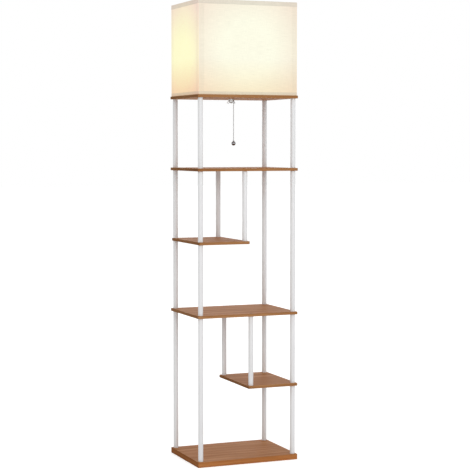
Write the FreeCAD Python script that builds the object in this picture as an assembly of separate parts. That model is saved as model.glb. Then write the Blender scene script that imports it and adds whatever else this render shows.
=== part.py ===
"""Shelf floor lamp: an open shelf unit on round metal tubes with a box shade on its top board.

All lengths are in millimetres. X runs along the front to the right, Y to the back and Z up. The origin is on
the floor, under the middle of the base board. Level 0 is the base board, level 5 is the top board.
"""

import FreeCAD
import Part
import math
import os

from FreeCAD import Vector

UP = Vector(0, 0, 1)
BACKWARD = Vector(0, 1, 0)

# ---------------------------------------------------------------- driving dimensions
# Boards
FOOT_X = 350.0  # width of the full boards
FOOT_Y = 260.0  # depth of every board
BASE_THICKNESS = 18.0
SHELF_THICKNESS = 9.0
HALF_SHELF_X = 175.0  # width of the two half shelves
UPPER_HALF_SET_IN = 4.5  # the upper half shelf stands in from the left side by this much
CORNER_RADIUS = 3.0  # upright corners of the boards
ARRIS = 0.6  # broken edge round both faces of a board

# Tubes
BAY_HEIGHT = 227.0  # clear height between two neighbouring levels
TUBE_DIAMETER = 16.0
TUBE_WALL = 1.2
TUBE_SET_IN = 13.0  # tube axis to the board edges beside it
INSERT_LENGTH = 15.0  # threaded insert pressed into each tube end

# Screws and studs, all of one thread
THREAD_DIAMETER = 6.0
THREAD_GAP = 0.1  # radial clearance of the thread in its insert
HOLE_GAP = 0.3  # radial clearance of the thread in a board
ENGAGEMENT = 10.0  # length of thread inside an insert
HEAD_DIAMETER = 12.0  # countersunk head
HEAD_DEPTH = 3.2
HEAD_SINK = 0.3  # the head lies this far below the face
HEAD_GAP = 0.1  # between the head and its countersink
SOCKET_WIDTH = 4.0  # across the flats of the hexagon socket
SOCKET_DEPTH = 2.0
SOCKET_SIDES = 6

# Shade
SHADE_HEIGHT = 302.0
SHADE_SET_IN = 2.4  # shade to the edges of the top board
SHADE_CORNER = 4.0
PANEL_THICKNESS = 1.2
HEM_THICKNESS = 0.5
TOP_HEM_HEIGHT = 14.5
BOTTOM_HEM_HEIGHT = 10.0
HEM_INNER_HEIGHT = 7.0  # the leg of the hem inside the shade
WIRE_DIAMETER = 3.6
WIRE_BEND = 4.0  # corner bend of the wire rings, on the wire's axis
FOLD_GAP = 0.1  # between the layers of the folded hem
LEAST_CORNER = 0.2  # smallest corner radius of a layer of the shade
STRAP_WIDTH = 12.0
STRAP_THICKNESS = 1.5
STRAP_EYE_RADIUS = 15.0

# Lampholder
LAMP_Y = 21.5  # the lampholder stands behind the middle, the pull chain hangs in the middle
NIPPLE_DIAMETER = 10.0
NIPPLE_BORE = 7.0
NIPPLE_GAP = 0.15  # radial clearance of the nipple in what it passes through or screws into
WASHER_THICKNESS = 1.5
UPPER_WASHER_RADIUS = 12.0
LOWER_WASHER_RADIUS = 9.0
NUT_HEIGHT = 8.5
NUT_TOP_RADIUS = 6.8
NUT_BOTTOM_RADIUS = 5.6
WING_SPAN = 29.0
WING_DROP = 6.0  # the wings reach this far below the barrel
WING_RADIUS = 3.0  # half height of a wing and the round of its tip
WING_THICKNESS = 2.6
NIPPLE_BELOW_NUT = 3.0
NIPPLE_IN_CAP = 7.0  # length of the nipple's thread inside the cap hub

HUB_RADIUS = 8.0
HUB_HEIGHT = 8.0
CAP_RADIUS = 17.3
CAP_CONE_HEIGHT = 12.0
CAP_SKIRT_HEIGHT = 5.0
METAL_WALL = 0.8
LAYER_GAP = 0.1  # between the nested sleeves of the lampholder
SHELL_LAP = 4.0  # the outer shell stands this deep in the cap
SHELL_HEIGHT = 42.0
RIM_RADIUS = 0.9  # rolled rim of the outer shell
LINING_WALL = 0.5
LINING_SHORT = 2.0  # the lining ends this far below the rim
SWITCH_BODY_HEIGHT = 17.0

# Bulb and the brass seat that it screws into
BULB_CAP_RADIUS = 13.0
BULB_GAP = 0.3  # between the bulb and the lampholder, all round and at the end
BULB_CAP_HEIGHT = 19.0
SCREW_SHELL_WALL = 0.5
SCREW_SHELL_HEIGHT = 22.0
SEAT_HOLE_RADIUS = 6.0
CENTRE_CONTACT_RADIUS = 4.5
CENTRE_CONTACT_HEIGHT = 1.6
END_CONTACT_RADIUS = 4.5
END_CONTACT_HEIGHT = 1.5
BULB_INSULATOR_HEIGHT = 4.0
BULB_CAP_WALL = 0.5
BULB_INSULATOR_RADIUS = 6.0
GLOBE_RADIUS = 30.0
GLASS_WALL = 1.0
NECK_RADIUS = 12.8
NECK_STRAIGHT = 6.0
NECK_LEAN = 25.0  # degrees between the cone under the globe and the bulb's axis
GLOBE_BANDS = 6  # facets of the inside of the glass

# Pull chain and its outlet
OUTLET_RADIUS = 3.2
OUTLET_BORE_RADIUS = 2.2
OUTLET_RISE = 34.0  # axis of the side arm above the strap
OUTLET_DROP = 16.0  # the guide's mouth below that axis
OUTLET_TOP = 5.0  # the guide's closed end above that axis
OUTLET_FLANGE_RADIUS = 6.0
OUTLET_FLANGE_THICKNESS = 1.2
ARM_RADIUS = 2.8
MOUTH_FLARE = 0.9
MOUTH_HEIGHT = 2.0
CHAIN_HOLE_RADIUS = 4.5
BEAD_RADIUS = 1.6
BEAD_HALF_HEIGHT = 1.5
BEAD_PITCH = 4.2
LINK_RADIUS = 0.5
LEAD_BEADS = 12
DROP_BEADS = 30
UPPER_PIVOT_BELOW_BOARD = 5.0
CONNECTOR_RADIUS = 2.6
CONNECTOR_LENGTH = 7.4
CUP_RADIUS = 2.0
CUP_DEPTH = 2.2
BALL_RADIUS = 7.2
BALL_COLLAR_RADIUS = 2.4
BALL_COLLAR_HEIGHT = 3.6
BEAD_SIDES = 6
END_LINK = 2.0  # from the lowest bead's centre to the collar of the ball

# ---------------------------------------------------------------- derived places
TUBE_RADIUS = TUBE_DIAMETER / 2
THREAD_RADIUS = THREAD_DIAMETER / 2
HEAD_RADIUS = HEAD_DIAMETER / 2
HALF_X = FOOT_X / 2
HALF_Y = FOOT_Y / 2
LEFT_X = TUBE_SET_IN - HALF_X
RIGHT_X = HALF_X - TUBE_SET_IN
FRONT_Y = TUBE_SET_IN - HALF_Y
BACK_Y = HALF_Y - TUBE_SET_IN
LOWER_HALF = (HALF_X - HALF_SHELF_X, HALF_X)
UPPER_HALF = (UPPER_HALF_SET_IN - HALF_X, UPPER_HALF_SET_IN - HALF_X + HALF_SHELF_X)
LOWER_CENTRE_X = LOWER_HALF[0] + TUBE_SET_IN
UPPER_CENTRE_X = UPPER_HALF[1] - TUBE_SET_IN
NIPPLE_RADIUS = NIPPLE_DIAMETER / 2
NIPPLE_HOLE = NIPPLE_RADIUS + NIPPLE_GAP

# Levels of the boards
BASE = 0
LOWER_HALF_LEVEL = 1
MIDDLE_LEVEL = 2
UPPER_HALF_LEVEL = 3
UPPER_LEVEL = 4
TOP_LEVEL = 5


def underside(level):
    """Height of the underside of the board at a level above the base."""
    return BASE_THICKNESS + level * BAY_HEIGHT + (level - 1) * SHELF_THICKNESS


def upper_face(level):
    """Height of the upper face of the board at a level."""
    return BASE_THICKNESS if level == BASE else underside(level) + SHELF_THICKNESS


CEILING = underside(TOP_LEVEL)  # underside of the top board
TABLE = upper_face(TOP_LEVEL)  # upper face of the top board, where the shade stands
SHADE_TOP = TABLE + SHADE_HEIGHT


# ---------------------------------------------------------------- shaping helpers
def turned(outline, x=0.0, y=0.0):
    """Solid of revolution about the vertical line through (x, y), from a closed (radius, height) outline."""
    points = [Vector(x + radius, y, height) for radius, height in outline]
    face = Part.Face(Part.makePolygon(points + points[:1]))
    return face.revolve(Vector(x, y, 0), UP, 360)


def disc(radius, z_bottom, z_top, x=0.0, y=0.0):
    """Upright solid cylinder between two heights."""
    return Part.makeCylinder(radius, z_top - z_bottom, Vector(x, y, z_bottom))


def sleeve(outer, inner, z_bottom, z_top, x=0.0, y=0.0):
    """Upright hollow cylinder between two heights."""
    return turned([(inner, z_bottom), (outer, z_bottom), (outer, z_top), (inner, z_top)], x, y)


def polygon_ring(sides, radius, z, x=0.0, y=0.0):
    """Corners of a level regular polygon round the vertical line through (x, y)."""
    angles = [2 * math.pi * side / sides for side in range(sides)]
    return [Vector(x + radius * math.cos(angle), y + radius * math.sin(angle), z) for angle in angles]


def upright_edges(solid):
    """Straight edges of a solid that run along Z."""
    straight = [edge for edge in solid.Edges if isinstance(edge.Curve, Part.Line)]
    return [edge for edge in straight if edge.BoundBox.ZLength > edge.Length / 2]


def rim_edges(solid, heights):
    """Edges of a solid that lie wholly in one of the given level planes."""
    level = [edge for edge in solid.Edges if edge.BoundBox.ZLength < ARRIS / 2]
    return [edge for edge in level if any(abs(edge.BoundBox.ZMin - z) < ARRIS / 2 for z in heights)]


def rounded_block(half_x, half_y, z_bottom, z_top, corner):
    """Upright block centred on the Z axis with rounded upright corners."""
    block = Part.makeBox(2 * half_x, 2 * half_y, z_top - z_bottom, Vector(-half_x, -half_y, z_bottom))
    return block.makeFillet(corner, upright_edges(block))


def frame_ring(outer_inset, thickness, z_bottom, z_top):
    """Upright rectangular ring that follows the shade, its outside a given distance inside the shade's."""
    outer_x = HALF_X - SHADE_SET_IN - outer_inset
    outer_y = HALF_Y - SHADE_SET_IN - outer_inset
    corner = max(SHADE_CORNER - outer_inset, LEAST_CORNER)
    inner_corner = max(corner - thickness, LEAST_CORNER)
    outer = rounded_block(outer_x, outer_y, z_bottom, z_top, corner)
    inner = rounded_block(outer_x - thickness, outer_y - thickness, z_bottom, z_top, inner_corner)
    return outer.cut(inner)


def save(name, shape):
    """Write one node of the lamp as its own file."""
    shape.exportStep(f"parts/{name}.step")


# ---------------------------------------------------------------- screws
def countersunk_bolt(x, y, face_z, length, way):
    """Countersunk bolt with a hexagon socket; way is +1 when it points up from face_z, -1 when down."""
    top = HEAD_SINK
    neck = HEAD_SINK + HEAD_DEPTH
    outline = [(0, top), (HEAD_RADIUS, top), (THREAD_RADIUS, neck), (THREAD_RADIUS, length), (0, length)]
    bolt = turned([(radius, face_z + way * depth) for radius, depth in outline], x, y)
    corner_radius = SOCKET_WIDTH / math.sqrt(3)
    corners = polygon_ring(SOCKET_SIDES, corner_radius, face_z + way * top, x, y)
    socket = Part.Face(Part.makePolygon(corners + corners[:1])).extrude(Vector(0, 0, way * SOCKET_DEPTH))
    return bolt.cut(socket)


def countersink(x, y, face_z, thickness, way):
    """Hole for a countersunk bolt through a board, from the face where its head lies."""
    wide = HEAD_RADIUS + HEAD_GAP
    narrow = THREAD_RADIUS + HOLE_GAP
    cone_depth = HEAD_DEPTH * (wide - narrow) / (HEAD_RADIUS - THREAD_RADIUS)
    outline = [(0, 0), (wide, 0), (wide, HEAD_SINK), (narrow, HEAD_SINK + cone_depth), (narrow, thickness),
               (0, thickness)]
    return turned([(radius, face_z + way * depth) for radius, depth in outline], x, y)


def stud_hole(x, y, level):
    """Plain hole for a tube's stud through the board at a level."""
    return disc(THREAD_RADIUS + HOLE_GAP, underside(level), upper_face(level), x, y)


# ---------------------------------------------------------------- boards
def board(x_min, x_max, z_bottom, z_top, cuts):
    """Rectangular board with rounded corners, broken edges and its holes."""
    blank = Part.makeBox(x_max - x_min, FOOT_Y, z_top - z_bottom, Vector(x_min, -HALF_Y, z_bottom))
    blank = blank.makeFillet(CORNER_RADIUS, upright_edges(blank))
    blank = blank.makeChamfer(ARRIS, rim_edges(blank, (z_bottom, z_top)))
    return blank.cut(cuts)


def shelf(x_min, x_max, level, cuts):
    """Thin board at a level above the base."""
    return board(x_min, x_max, underside(level), upper_face(level), cuts)


CORNERS = {
    "back_left": (LEFT_X, BACK_Y),
    "front_left": (LEFT_X, FRONT_Y),
    "back_right": (RIGHT_X, BACK_Y),
    "front_right": (RIGHT_X, FRONT_Y),
}
LEFT_CORNERS = [CORNERS["back_left"], CORNERS["front_left"]]
RIGHT_CORNERS = [CORNERS["back_right"], CORNERS["front_right"]]
# Levels between which the tubes of one corner run; each side has one long tube across from a half shelf
LEFT_SPANS = [(BASE, MIDDLE_LEVEL), (MIDDLE_LEVEL, UPPER_HALF_LEVEL), (UPPER_HALF_LEVEL, UPPER_LEVEL),
              (UPPER_LEVEL, TOP_LEVEL)]
RIGHT_SPANS = [(BASE, LOWER_HALF_LEVEL), (LOWER_HALF_LEVEL, MIDDLE_LEVEL), (MIDDLE_LEVEL, UPPER_LEVEL),
               (UPPER_LEVEL, TOP_LEVEL)]
LOWER_CENTRES = {"back": (LOWER_CENTRE_X, BACK_Y), "front": (LOWER_CENTRE_X, FRONT_Y)}
UPPER_CENTRES = {"back": (UPPER_CENTRE_X, BACK_Y), "front": (UPPER_CENTRE_X, FRONT_Y)}


def sunk_from_below(places, level):
    """Countersinks from the underside of the thin board at a level."""
    return [countersink(x, y, underside(level), SHELF_THICKNESS, 1) for x, y in places.values()]


def sunk_from_above(places, level):
    """Countersinks from the upper face of the thin board at a level."""
    return [countersink(x, y, upper_face(level), SHELF_THICKNESS, -1) for x, y in places.values()]


def stud_holes(places, level):
    """Plain holes for the studs of the tubes that end under the board at a level."""
    return [stud_hole(x, y, level) for x, y in places]


def make_boards():
    """The base board, three full shelves and two half shelves, each with the holes of its tubes."""
    base_cuts = [countersink(x, y, 0, BASE_THICKNESS, 1) for x, y in CORNERS.values()]
    save("base_board", board(-HALF_X, HALF_X, 0, BASE_THICKNESS, base_cuts))

    cuts = stud_holes(RIGHT_CORNERS, LOWER_HALF_LEVEL) + sunk_from_below(LOWER_CENTRES, LOWER_HALF_LEVEL)
    save("lower_half_shelf", shelf(*LOWER_HALF, LOWER_HALF_LEVEL, cuts))
    cuts = stud_holes(CORNERS.values(), MIDDLE_LEVEL) + sunk_from_above(LOWER_CENTRES, MIDDLE_LEVEL)
    save("middle_shelf", shelf(-HALF_X, HALF_X, MIDDLE_LEVEL, cuts))
    cuts = stud_holes(LEFT_CORNERS, UPPER_HALF_LEVEL) + sunk_from_below(UPPER_CENTRES, UPPER_HALF_LEVEL)
    save("upper_half_shelf", shelf(*UPPER_HALF, UPPER_HALF_LEVEL, cuts))
    cuts = stud_holes(CORNERS.values(), UPPER_LEVEL) + sunk_from_above(UPPER_CENTRES, UPPER_LEVEL)
    save("upper_shelf", shelf(-HALF_X, HALF_X, UPPER_LEVEL, cuts))

    cuts = sunk_from_above(CORNERS, TOP_LEVEL)
    cuts.append(disc(NIPPLE_HOLE, CEILING, TABLE, 0, LAMP_Y))
    cuts.append(disc(CHAIN_HOLE_RADIUS, CEILING, TABLE))
    save("top_board", shelf(-HALF_X, HALF_X, TOP_LEVEL, cuts))


# ---------------------------------------------------------------- tubes and their bolts
def tube(x, y, z_bottom, z_top, has_stud):
    """Round tube with threaded inserts in both ends; the upper insert may carry a stud instead of a thread."""
    inner = TUBE_RADIUS - TUBE_WALL
    bore = THREAD_RADIUS + THREAD_GAP
    lower_insert = z_bottom + INSERT_LENGTH
    upper_insert = z_top - INSERT_LENGTH
    outline = [(inner, upper_insert), (inner, lower_insert), (bore, lower_insert), (bore, z_bottom),
               (TUBE_RADIUS, z_bottom), (TUBE_RADIUS, z_top)]
    if has_stud:
        stud_top = z_top + SHELF_THICKNESS + ENGAGEMENT
        outline += [(THREAD_RADIUS, z_top), (THREAD_RADIUS, stud_top), (0, stud_top), (0, upper_insert)]
    else:
        outline += [(bore, z_top), (bore, upper_insert)]
    return turned(outline, x, y)


def make_tubes():
    """Four columns of tubes on the corners and two short centre posts for each half shelf."""
    for corner, (x, y) in CORNERS.items():
        spans = LEFT_SPANS if corner.endswith("left") else RIGHT_SPANS
        for number, (low, high) in enumerate(spans, start=1):
            post = tube(x, y, upper_face(low), underside(high), has_stud=high < TOP_LEVEL)
            save(f"tube_{corner}_{number}", post)
    for side, (x, y) in LOWER_CENTRES.items():
        post = tube(x, y, upper_face(LOWER_HALF_LEVEL), underside(MIDDLE_LEVEL), has_stud=False)
        save(f"lower_centre_post_{side}", post)
    for side, (x, y) in UPPER_CENTRES.items():
        post = tube(x, y, upper_face(UPPER_HALF_LEVEL), underside(UPPER_LEVEL), has_stud=False)
        save(f"upper_centre_post_{side}", post)


def bolt_set(name, places, length, way):
    """One node of equal bolts; each place is (x, y, height of the face with the countersink)."""
    save(name, Part.makeCompound([countersunk_bolt(x, y, z, length, way) for x, y, z in places]))


def make_bolts():
    """Countersunk bolts at the ends of the columns and of the centre posts."""
    shelf_length = SHELF_THICKNESS + ENGAGEMENT
    bolt_set("base_bolts", [(x, y, 0) for x, y in CORNERS.values()], BASE_THICKNESS + ENGAGEMENT, 1)
    bolt_set("top_bolts", [(x, y, TABLE) for x, y in CORNERS.values()], shelf_length, -1)
    from_below = [(x, y, underside(LOWER_HALF_LEVEL)) for x, y in LOWER_CENTRES.values()]
    from_below += [(x, y, underside(UPPER_HALF_LEVEL)) for x, y in UPPER_CENTRES.values()]
    bolt_set("half_shelf_bolts", from_below, shelf_length, 1)
    from_above = [(x, y, upper_face(MIDDLE_LEVEL)) for x, y in LOWER_CENTRES.values()]
    from_above += [(x, y, upper_face(UPPER_LEVEL)) for x, y in UPPER_CENTRES.values()]
    bolt_set("shelf_bolts", from_above, shelf_length, -1)


# ---------------------------------------------------------------- shade
# Across the folded hem, from outside in: hem, panel, wire, hem, with a gap between neighbours
PANEL_INSET = HEM_THICKNESS + FOLD_GAP
WIRE_INSET = PANEL_INSET + PANEL_THICKNESS + FOLD_GAP
WIRE_RADIUS = WIRE_DIAMETER / 2
INNER_LEG_INSET = WIRE_INSET + WIRE_DIAMETER + FOLD_GAP
FOLD_WIDTH = INNER_LEG_INSET + HEM_THICKNESS
WIRE_X = HALF_X - SHADE_SET_IN - WIRE_INSET - WIRE_RADIUS
WIRE_Y = HALF_Y - SHADE_SET_IN - WIRE_INSET - WIRE_RADIUS
LOWER_WIRE_Z = TABLE + HEM_THICKNESS + FOLD_GAP + WIRE_RADIUS
UPPER_WIRE_Z = SHADE_TOP - HEM_THICKNESS - FOLD_GAP - WIRE_RADIUS


def hem(edge_z, height, way):
    """Fabric strip folded over an edge of the shade; way is -1 when it hangs down from edge_z, +1 when up."""
    def levels(reach):
        return sorted((edge_z, edge_z + way * reach))

    outer_leg = frame_ring(0, HEM_THICKNESS, *levels(height))
    lip = frame_ring(0, FOLD_WIDTH, *levels(HEM_THICKNESS))
    inner_leg = frame_ring(INNER_LEG_INSET, HEM_THICKNESS, *levels(HEM_INNER_HEIGHT))
    return outer_leg.fuse([lip, inner_leg]).removeSplitter()


def wire_rectangle(z):
    """Closed rectangle of round wire: four straight bars and four bent corners."""
    reach_x = WIRE_X - WIRE_BEND
    reach_y = WIRE_Y - WIRE_BEND
    corners = [(reach_x, -reach_y), (reach_x, reach_y), (-reach_x, reach_y), (-reach_x, -reach_y)]
    outward = [Vector(0, -1, 0), Vector(1, 0, 0), Vector(0, 1, 0), Vector(-1, 0, 0)]
    pieces = []
    for number, (x, y) in enumerate(corners):
        leaves = outward[(number + 1) % len(outward)]
        centre = Vector(x, y, z)
        start = centre + outward[number] * WIRE_BEND
        section = Part.Face(Part.Wire(Part.makeCircle(WIRE_RADIUS, start, leaves)))
        pieces.append(section.revolve(centre, UP, 90))
        following = Vector(*corners[(number + 1) % len(corners)], z)
        pieces.append(Part.makeCylinder(WIRE_RADIUS, (following - centre).Length, centre + leaves * WIRE_BEND,
                                        following - centre))
    return pieces[0].fuse(pieces[1:]).removeSplitter()


def strap():
    """Flat bar across the bottom ring with a widened eye that the lampholder clamps to the board."""
    half_width = STRAP_WIDTH / 2
    bar = Part.makeBox(2 * WIRE_X, STRAP_WIDTH, STRAP_THICKNESS, Vector(-WIRE_X, LAMP_Y - half_width, TABLE))
    eye = disc(STRAP_EYE_RADIUS, TABLE, TABLE + STRAP_THICKNESS, 0, LAMP_Y)
    hole = disc(NIPPLE_HOLE, TABLE, TABLE + STRAP_THICKNESS, 0, LAMP_Y)
    return bar.fuse(eye).cut(hole)


def make_shade():
    """Linen box shade: panel, folded hems, wire rings, corner uprights and the clamped strap."""
    edge = HEM_THICKNESS + FOLD_GAP
    save("shade_panel", frame_ring(PANEL_INSET, PANEL_THICKNESS, TABLE + edge, SHADE_TOP - edge))
    save("shade_top_hem", hem(SHADE_TOP, TOP_HEM_HEIGHT, -1))

    notch_width = STRAP_WIDTH + 2 * FOLD_GAP
    notch_height = STRAP_THICKNESS + FOLD_GAP
    notch = Part.makeBox(2 * WIRE_X, notch_width, notch_height,
                         Vector(-WIRE_X, LAMP_Y - notch_width / 2, TABLE))
    save("shade_bottom_hem", hem(TABLE, BOTTOM_HEM_HEIGHT, 1).cut(notch))

    save("shade_top_ring", wire_rectangle(UPPER_WIRE_Z))
    save("shade_bottom_ring", wire_rectangle(LOWER_WIRE_Z).fuse(strap()).removeSplitter())
    low = LOWER_WIRE_Z + WIRE_RADIUS + FOLD_GAP
    high = UPPER_WIRE_Z - WIRE_RADIUS - FOLD_GAP
    in_bend = WIRE_BEND * (1 - math.sqrt(0.5))
    places = [(x, y) for x in (in_bend - WIRE_X, WIRE_X - in_bend) for y in (in_bend - WIRE_Y, WIRE_Y - in_bend)]
    uprights = [disc(WIRE_RADIUS, low, high, x, y) for x, y in places]
    save("shade_uprights", Part.makeCompound(uprights))


# ---------------------------------------------------------------- lampholder
STRAP_TOP = TABLE + STRAP_THICKNESS
CAP_BOTTOM = STRAP_TOP + WASHER_THICKNESS
HUB_TOP = CAP_BOTTOM + HUB_HEIGHT
SKIRT_BOTTOM = HUB_TOP + CAP_CONE_HEIGHT
CAP_TOP = SKIRT_BOTTOM + CAP_SKIRT_HEIGHT
SHELL_OUTER = CAP_RADIUS - METAL_WALL - LAYER_GAP
SHELL_INNER = SHELL_OUTER - METAL_WALL
SHELL_BOTTOM = CAP_TOP - SHELL_LAP
SHELL_TOP = SHELL_BOTTOM + SHELL_HEIGHT
LINING_OUTER = SHELL_INNER - LAYER_GAP
LINING_INNER = LINING_OUTER - LINING_WALL
SWITCH_TOP = SHELL_BOTTOM + SWITCH_BODY_HEIGHT
SWITCH_RADIUS = LINING_INNER - LAYER_GAP
SCREW_SHELL_INNER = BULB_CAP_RADIUS + BULB_GAP
NUT_TOP = CEILING - WASHER_THICKNESS
NUT_BOTTOM = NUT_TOP - NUT_HEIGHT
OUTLET_Z = STRAP_TOP + OUTLET_RISE


def wing(side):
    """One wing of the nut, a flat bar with a round tip; side is -1 for the left one, +1 for the right one."""
    front = LAMP_Y - WING_THICKNESS / 2
    root = Vector(side * NUT_BOTTOM_RADIUS / 2, front, NUT_BOTTOM + NUT_HEIGHT / 2)
    tip = Vector(side * (WING_SPAN / 2 - WING_RADIUS), front, NUT_BOTTOM - WING_DROP + WING_RADIUS)
    along = (tip - root).normalize()
    across = along.cross(BACKWARD) * WING_RADIUS
    round_tip = Part.Arc(tip + across, tip + along * WING_RADIUS, tip - across).toShape()
    straight = Part.makePolygon([tip - across, root - across, root + across, tip + across])
    outline = Part.Wire([round_tip] + straight.Edges)
    return Part.Face(outline).extrude(BACKWARD * WING_THICKNESS)


def wing_nut():
    """Nut with a tapered barrel and two wings that slope outwards and down."""
    barrel = turned([(0, NUT_BOTTOM), (NUT_BOTTOM_RADIUS, NUT_BOTTOM), (NUT_TOP_RADIUS, NUT_TOP),
                     (0, NUT_TOP)], 0, LAMP_Y)
    hole = disc(NIPPLE_HOLE, NUT_BOTTOM - WING_DROP, NUT_TOP, 0, LAMP_Y)
    return barrel.fuse([wing(-1), wing(1)]).cut(hole).removeSplitter()


def lampholder_cap():
    """Spun metal cap: threaded hub, cone and the skirt that holds the outer shell."""
    inner = CAP_RADIUS - METAL_WALL
    outline = [(NIPPLE_HOLE, CAP_BOTTOM), (HUB_RADIUS, CAP_BOTTOM), (HUB_RADIUS, HUB_TOP),
               (CAP_RADIUS, SKIRT_BOTTOM), (CAP_RADIUS, CAP_TOP), (inner, CAP_TOP),
               (inner, SKIRT_BOTTOM), (HUB_RADIUS - METAL_WALL, HUB_TOP), (NIPPLE_HOLE, HUB_TOP)]
    return turned(outline, 0, LAMP_Y)


def side_arm(radius):
    """Level round bar from the chain's line to the axis of the lampholder."""
    return Part.makeCylinder(radius, LAMP_Y, Vector(0, 0, OUTLET_Z), BACKWARD)


def chain_outlet():
    """Angled outlet: a side arm from the switch body and an upright guide with a flared mouth."""
    mouth = OUTLET_Z - OUTLET_DROP
    throat = mouth + MOUTH_HEIGHT
    closed_end = OUTLET_Z + OUTLET_TOP
    bore_end = closed_end - METAL_WALL
    passage = [(0, mouth), (OUTLET_BORE_RADIUS + MOUTH_FLARE, mouth), (OUTLET_BORE_RADIUS, throat),
               (OUTLET_BORE_RADIUS, bore_end), (0, bore_end)]
    guide = turned([(0, mouth), (OUTLET_RADIUS + MOUTH_FLARE, mouth), (OUTLET_RADIUS, throat),
                    (OUTLET_RADIUS, closed_end), (0, closed_end)])
    arm = side_arm(ARM_RADIUS).cut(disc(SWITCH_RADIUS + LAYER_GAP, SHELL_BOTTOM, SHELL_TOP, 0, LAMP_Y))
    flange_front = LAMP_Y - SHELL_OUTER - LAYER_GAP - OUTLET_FLANGE_THICKNESS
    flange = Part.makeCylinder(OUTLET_FLANGE_RADIUS, OUTLET_FLANGE_THICKNESS,
                               Vector(0, flange_front, OUTLET_Z), BACKWARD)
    return guide.fuse([arm, flange]).cut(turned(passage)).removeSplitter()


def lampholder_shell():
    """Spun metal sleeve with a beaded rim and the hole for the side arm."""
    rim = SHELL_TOP - 2 * RIM_RADIUS
    outline = [(SHELL_INNER, SHELL_BOTTOM), (SHELL_OUTER, SHELL_BOTTOM), (SHELL_OUTER, rim),
               (SHELL_OUTER + RIM_RADIUS, rim + RIM_RADIUS / 2),
               (SHELL_OUTER + RIM_RADIUS, SHELL_TOP - RIM_RADIUS / 2), (SHELL_OUTER, SHELL_TOP),
               (SHELL_INNER, SHELL_TOP)]
    return turned(outline, 0, LAMP_Y).cut(side_arm(ARM_RADIUS + LAYER_GAP))


def screw_shell():
    """Brass cup that the bulb screws into, with a hole in its floor round the centre contact."""
    outer = SCREW_SHELL_INNER + SCREW_SHELL_WALL
    floor_top = SWITCH_TOP + SCREW_SHELL_WALL
    top = SWITCH_TOP + SCREW_SHELL_HEIGHT
    outline = [(SEAT_HOLE_RADIUS, SWITCH_TOP), (outer, SWITCH_TOP), (outer, top), (SCREW_SHELL_INNER, top),
               (SCREW_SHELL_INNER, floor_top), (SEAT_HOLE_RADIUS, floor_top)]
    return turned(outline, 0, LAMP_Y)


def make_lampholder():
    """Lampholder with its nipple, washers, wing nut, sleeves, contacts and chain outlet."""
    save("lamp_nipple", sleeve(NIPPLE_RADIUS, NIPPLE_BORE / 2, NUT_BOTTOM - NIPPLE_BELOW_NUT,
                               CAP_BOTTOM + NIPPLE_IN_CAP, 0, LAMP_Y))
    save("upper_washer", sleeve(UPPER_WASHER_RADIUS, NIPPLE_HOLE, STRAP_TOP, CAP_BOTTOM, 0, LAMP_Y))
    save("lower_washer", sleeve(LOWER_WASHER_RADIUS, NIPPLE_HOLE, NUT_TOP, CEILING, 0, LAMP_Y))
    save("wing_nut", wing_nut())
    save("lampholder_cap", lampholder_cap())
    save("lampholder_shell", lampholder_shell())
    lining = sleeve(LINING_OUTER, LINING_INNER, SHELL_BOTTOM, SHELL_TOP - LINING_SHORT, 0, LAMP_Y)
    save("lampholder_lining", lining.cut(side_arm(ARM_RADIUS + LAYER_GAP)))
    save("switch_body", disc(SWITCH_RADIUS, SHELL_BOTTOM, SWITCH_TOP, 0, LAMP_Y))
    save("screw_shell", screw_shell())
    save("centre_contact", disc(CENTRE_CONTACT_RADIUS, SWITCH_TOP, SWITCH_TOP + CENTRE_CONTACT_HEIGHT,
                                0, LAMP_Y))
    save("chain_outlet", chain_outlet())


# ---------------------------------------------------------------- bulb
def globe(foot_z):
    """Hollow glass globe: a straight neck, a cone that runs into the sphere without a kink, and the sphere.

    The inside is turned from straight facets, so the glass is a little thicker between their corners.
    """
    lean = math.radians(NECK_LEAN)
    cone_z = foot_z + NECK_STRAIGHT
    meet_z = cone_z + (GLOBE_RADIUS * math.cos(lean) - NECK_RADIUS) / math.tan(lean)
    centre_z = meet_z + GLOBE_RADIUS * math.sin(lean)

    def on_sphere(radius, angle):
        """Point at an angle above the level of the globe's centre."""
        return Vector(radius * math.cos(angle), LAMP_Y, centre_z + radius * math.sin(angle))

    def neck(radius, height):
        return Vector(radius, LAMP_Y, height)

    meet = on_sphere(GLOBE_RADIUS, -lean)
    crown = on_sphere(GLOBE_RADIUS, math.pi / 2)
    sphere = Part.Arc(meet, on_sphere(GLOBE_RADIUS, 0), crown).toShape()
    step = (math.pi / 2 + lean) / GLOBE_BANDS
    inside = [on_sphere(GLOBE_RADIUS - GLASS_WALL, math.pi / 2 - band * step) for band in range(GLOBE_BANDS + 1)]
    inner_neck = NECK_RADIUS - GLASS_WALL
    rest = [crown] + inside + [neck(inner_neck, cone_z), neck(inner_neck, foot_z), neck(NECK_RADIUS, foot_z),
                               neck(NECK_RADIUS, cone_z), meet]
    outline = Part.Wire([sphere] + Part.makePolygon(rest).Edges)
    return Part.Face(outline).revolve(neck(0, 0), UP, 360)


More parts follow.
